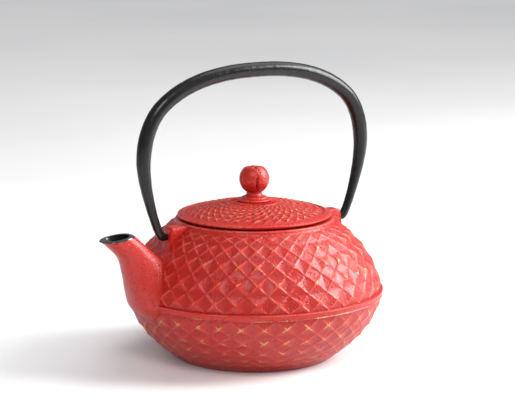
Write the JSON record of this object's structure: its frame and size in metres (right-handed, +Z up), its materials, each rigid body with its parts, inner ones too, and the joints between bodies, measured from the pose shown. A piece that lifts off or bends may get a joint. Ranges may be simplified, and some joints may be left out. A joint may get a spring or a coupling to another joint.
{
  "type": "cast iron teapot",
  "caption": "Round cast iron teapot with a stubbed pyramid relief, a short spout, a lift-off lid with a ball knob, a folding bail handle and a hanging tea strainer.",
  "frame": {"origin": "centre of the flat pad under the pot, on the surface it stands on", "axes": "+Z up, -X towards the spout, X along the bail's hinge axis, Y the way the bail swings"},
  "size_m": [0.1771, 0.15, 0.1713],
  "materials": {
    "red_enamel": "satin red enamel on cast iron, gold brushed on the relief's points",
    "black_enamel": "glossy black enamel lining",
    "black_steel": "satin black lacquer on steel",
    "stainless": "pressed stainless steel, fine brushed",
    "strainer_mesh": "woven stainless wire mesh"
  },
  "bodies": {
    "pot": {"pot_base": "red_enamel", "pot_lower_wall": "red_enamel", "pot_upper_wall": "red_enamel", "pot_shoulder": "red_enamel", "pot_spout": "red_enamel"},
    "strainer": {"infuser_rim": "stainless", "infuser_wall": "strainer_mesh", "infuser_base_ring": "stainless", "infuser_floor": "strainer_mesh"},
    "cover": {"lid": "red_enamel", "knob_collar": "red_enamel", "knob": "red_enamel", "knob_screw": "stainless", "knob_washer": "stainless"},
    "bail": {"bail_handle": "black_steel"}
  },
  "joints": [
    {"name": "bail_swing", "type": "hinge", "parent": "pot", "child": "bail", "pos_m": [0, 0, 0.0752], "axis": [1, 0, 0], "range_deg": [-128, 124]},
    {"name": "strainer_lift", "type": "slide", "parent": "pot", "child": "strainer", "axis": [0, 0, 1], "range_m": [0, 0.046]},
    {"name": "lid_lift", "type": "slide", "parent": "strainer", "child": "cover", "axis": [0, 0, 1], "range_m": [0, 0.046]}
  ]
}
